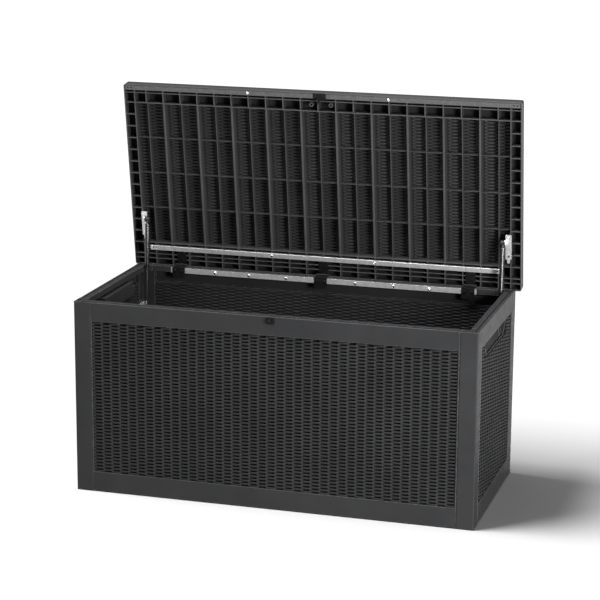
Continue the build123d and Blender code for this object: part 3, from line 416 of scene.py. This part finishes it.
def relief_piece(name, relief, place, back, body, material):
    """Closed piece with a woven face; place turns u, v, height into points; back is its back's height."""
    u, v, h = relief
    nu, nv = len(u), len(v)
    grid_u, grid_v = np.meshgrid(u, v)
    top = place(grid_u, grid_v, h).reshape(-1, 3)
    low = place(grid_u[[0, -1]], grid_v[[0, -1]], np.full((2, nu), back)).reshape(-1, 3)
    at = np.arange(nv * nu).reshape(nv, nu)
    low_0 = nv * nu + np.arange(nu)
    low_1 = low_0 + nu
    faces = [np.stack([at[:-1, :-1], at[:-1, 1:], at[1:, 1:], at[1:, :-1]], -1).reshape(-1, 4),
             np.stack([low_0[:-1], low_1[:-1], low_1[1:], low_0[1:]], -1),
             np.stack([at[0, 1:], at[0, :-1], low_0[:-1], low_0[1:]], -1),
             np.stack([at[-1, :-1], at[-1, 1:], low_1[1:], low_1[:-1]], -1)]
    faces = np.concatenate(faces).tolist()
    faces.append([low_0[0], *at[:, 0], low_1[0]])
    faces.append([low_1[-1], *at[::-1, -1], low_0[-1]])
    origin = place(np.zeros(1), np.zeros(1), np.zeros(1))[0]
    steps = [place(*(np.full(1, MM * (i == k)) for k in range(3)))[0] - origin for i in range(3)]
    along, across, out = steps
    if np.dot(np.cross(along, across), out) < 0:
        faces = [face[::-1] for face in faces]
    mesh = bpy.data.meshes.new(name)
    mesh.from_pydata(np.concatenate([top, low]).tolist(), [], [[int(i) for i in face] for face in faces])
    mesh.update()
    # painted shade: the lower parts of the weave are marked here to be coloured black as shade
    weave_shade = np.clip(SHADE_RATE * (h.max() - h) / (h.max() - h.min()) - SHADE_START, 0, 1).ravel()
    shade_attribute = mesh.attributes.new("weave_shade", "FLOAT", "POINT")
    shade_attribute.data.foreach_set("value", np.concatenate([weave_shade, np.ones(2 * nu)]))
    return finish_piece(name, mesh, body, material)


def finish_piece(name, mesh, body, material):
    """Object on its body, smooth where it is round."""
    mesh.shade_smooth()
    mesh.set_sharp_from_angle(angle=SHARP_ANGLE)
    mesh.materials.append(material)
    piece = bpy.data.objects.new(name, mesh)
    bpy.context.scene.collection.objects.link(piece)
    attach(piece, body)
    return piece


def long_wall_weave(name, side):
    """Outer weave of the front (side -1) or the back (side +1), in two halves."""
    def place(u, v, h):
        return np.stack([u, side * (OUT_Y - FIELD_DEEP + RISE + h), FIELD_LOW + v], -1)
    u, v, h = woven(2 * FRONT_HALF, FIELD_TALL, LONG_STEPS, FINE, OVER, ROUND, HOLE)
    half = len(u) // 2
    for label, part in (("left", slice(0, half + 1)), ("right", slice(half, None))):
        relief = u[part], v, h[:, part]
        relief_piece(f"{name}_weave_{label}", relief, place, -RISE - BACK_MARGIN, "box", WOVEN)


def long_wall_inside(name, side):
    """Inner face of the same wall, where the weave shows through in the negative."""
    def place(u, v, h):
        return np.stack([u, side * (OUT_Y - FIELD_DEEP - WALL - INSIDE_LIFT - h), FIELD_LOW + v], -1)
    relief = woven(2 * FRONT_HALF, FIELD_TALL, INSIDE_STEPS, PLAIN, INSIDE_OVER, INSIDE_ROUND, 0)
    relief_piece(f"{name}_inner_weave", relief, place, INSIDE_BACK, "box", INNER)


def short_wall_weave(name, side):
    """Outer and inner weave of a side wall, in three pieces round the grip recess."""
    def outer(u, v, h):
        return np.stack([side * (OUT_X - FIELD_DEEP + RISE + h), u, FIELD_LOW + v], -1)

    def inner(u, v, h):
        return np.stack([side * (OUT_X - FIELD_DEEP - WALL - INSIDE_LIFT - h), u, FIELD_LOW + v], -1)
    relief = woven(2 * SIDE_HALF, FIELD_TALL, SHORT_STEPS, FINE, OVER, ROUND, HOLE)
    round_recess(f"{name}_weave", relief, outer, -RISE - BACK_MARGIN, WOVEN)
    relief = woven(2 * SIDE_HALF, FIELD_TALL, INSIDE_STEPS, PLAIN, INSIDE_OVER, INSIDE_ROUND, 0)
    round_recess(f"{name}_inner_weave", relief, inner, INSIDE_BACK, INNER)


def round_recess(name, relief, place, back, material):
    """Pieces of a side wall's weave in front of, behind and below its grip recess."""
    u, v, h = relief
    first, last = np.searchsorted(u, (-GRIP_HALF, GRIP_HALF))
    below = np.searchsorted(v, GRIP_LOW - FIELD_LOW)
    every_row = slice(None)
    parts = {"front": (every_row, slice(0, first)),
             "rear": (every_row, slice(last, None)),
             "middle": (slice(0, below), slice(first - 1, last + 1))}
    for label, (rows, columns) in parts.items():
        part = u[columns], v[rows], h[rows, columns]
        relief_piece(f"{name}_{label}", part, place, back, "box", material)


# ---- lid ----
def on_lid(x, s, n):
    """Points of the open lid: s forward of the hinge axis and n above it, as in the closed pose."""
    cos, sin = math.cos(LID_OPEN), math.sin(LID_OPEN)
    return np.stack([x, HINGE_Y - s * cos + n * sin, HINGE_Z + s * sin + n * cos], -1)


def crown(offset, half, base):
    """Height of a plank's shallow arch at an offset from its middle."""
    rise = PLANK_CROWN - PLANK_STEP
    radius = (half ** 2 + rise ** 2) / (2 * rise)
    return base + PLANK_CROWN - radius + np.sqrt(radius ** 2 - offset ** 2)


def lid_plank_weave(index):
    """Woven top of one plank, and the negative of it between the ribs below."""
    middle = (index + 0.5) * PLANK - OUT_X
    half = (PLANK - PLANK_GAP) / 2
    start = LID_REAR + PLANK_INSET + PLANK_EDGE
    length = LID_FRONT - PLANK_INSET - PLANK_EDGE - start

    def above(u, v, h):
        return on_lid(middle + u, start + v, crown(u, half, SKIN_OUT) + PLANK_LIFT + h)

    def below(u, v, h):
        return on_lid(middle + u, RIB_REAR + v, crown(u, half - WALL, SKIN_OUT - WALL) - BAY_LIFT - h)
    width = 2 * (half - PLANK_EDGE)
    relief = woven(width, length, PLANK_STEPS, FINE, PLANK_OVER, PLANK_ROUND, PLANK_HOLE)
    relief_piece(f"lid_plank_weave_{index + 1:02d}", relief, above, PLANK_BACK, "lid", WOVEN)
    width = 2 * (half - WALL - BAY_MARGIN)
    relief = woven(width, RIB_FRONT - RIB_REAR, BAY_STEPS, PLAIN, BAY_OVER, BAY_ROUND, 0)
    relief_piece(f"lid_bay_weave_{index + 1:02d}", relief, below, BAY_BACK, "lid", INNER)


# ---- stage ----
FLOOR_REACH = 60.0
FLOOR_GAP = 0.5 * MM             # the floor lies this far under the box
SUN_STRENGTH, SUN_WIDTH = 4.1, math.radians(38)
SUN_DIRECTION = (0.60, 0.18, -0.78)
WORLD_STRENGTH = 0.2
SOFTBOXES = {                    # place, the point it faces, width and height, watts
    "front_right": ((2.9, -2.6, 0.8), (0.3, 0, 0.4), (0.9, 2.0), 430),
    "right_side": ((3.6, 0.9, 1.0), (0.5, 0, 0.4), (1.6, 2.0), 12),
    "above": ((0.2, -0.4, 3.0), (0.1, -0.1, 0.5), (1.6, 1.2), 130),
}
EYE = (1.69084, -5.71029, 2.01821)
EYE_YAW, EYE_DOWN, EYE_ROLL = 16.4326, 13.7532, 0.349      # degrees
LENS, SENSOR = 124.58, 36.0      # millimetres


def stage_floor():
    """Large floor just below the box."""
    mesh = bpy.data.meshes.new("floor")
    signs = [(-1, -1), (1, -1), (1, 1), (-1, 1)]
    mesh.from_pydata([(x * FLOOR_REACH, y * FLOOR_REACH, 0) for x, y in signs], [], [[0, 1, 2, 3]])
    mesh.materials.append(floor_material())
    floor = bpy.data.objects.new("floor", mesh)
    floor.location.z = cad_low.z - FLOOR_GAP
    bpy.context.scene.collection.objects.link(floor)


def softbox(name, place, aim, size, power):
    """Rectangular studio light at a place, facing a point."""
    light = bpy.data.lights.new(name, "AREA")
    light.shape = "RECTANGLE"
    light.size, light.size_y = size
    light.energy = power
    lamp = bpy.data.objects.new(name, light)
    lamp.location = place
    lamp.rotation_euler = (Vector(aim) - Vector(place)).to_track_quat("-Z", "Y").to_euler()
    bpy.context.scene.collection.objects.link(lamp)
    return lamp


def lights():
    """Broad soft sun from the left, a dim world, and the softboxes, which are returned."""
    sun = bpy.data.lights.new("soft_sun", "SUN")
    sun.energy = SUN_STRENGTH
    sun.angle = SUN_WIDTH
    lamp = bpy.data.objects.new("soft_sun", sun)
    lamp.rotation_euler = Vector(SUN_DIRECTION).to_track_quat("-Z", "Y").to_euler()
    bpy.context.scene.collection.objects.link(lamp)
    world = bpy.data.worlds.new("studio")
    world.use_nodes = True
    world.node_tree.nodes["Background"].inputs["Color"].default_value = (1, 1, 1, 1)
    world.node_tree.nodes["Background"].inputs["Strength"].default_value = WORLD_STRENGTH
    bpy.context.scene.world = world
    bpy.context.scene.view_settings.view_transform = "Standard"
    return [softbox(name, *values) for name, values in SOFTBOXES.items()]


def keep_off_floor(lamps):
    """These lamps light the object and not the floor."""
    lit = bpy.data.collections.new("lit_by_softboxes")
    for thing in bpy.context.scene.objects:
        if thing.type == "MESH" and thing.name != "floor":
            lit.objects.link(thing)
    for lamp in lamps:
        lamp.light_linking.receiver_collection = lit


def camera():
    """Long lens from the front right, looking down on the open box."""
    lens = bpy.data.cameras.new("camera")
    lens.sensor_width = SENSOR
    lens.lens = LENS
    lens.clip_end = 200.0
    eye = bpy.data.objects.new("camera", lens)
    yaw, down, roll = math.radians(EYE_YAW), math.radians(EYE_DOWN), math.radians(EYE_ROLL)
    turn = (Matrix.Rotation(yaw, 4, "Z") @ Matrix.Rotation(math.pi / 2 - down, 4, "X")
            @ Matrix.Rotation(roll, 4, "Z"))
    eye.matrix_world = Matrix.Translation(EYE) @ turn
    bpy.context.scene.collection.objects.link(eye)
    bpy.context.scene.camera = eye


camera()
object_lamps = lights()
stage_floor()
paint_frame()
for name, side in (("front", -1), ("back", 1)):
    long_wall_weave(name, side)
    long_wall_inside(name, side)
for name, side in (("left", -1), ("right", 1)):
    short_wall_weave(name, side)
for index in range(PLANKS):
    lid_plank_weave(index)
keep_off_floor(object_lamps)
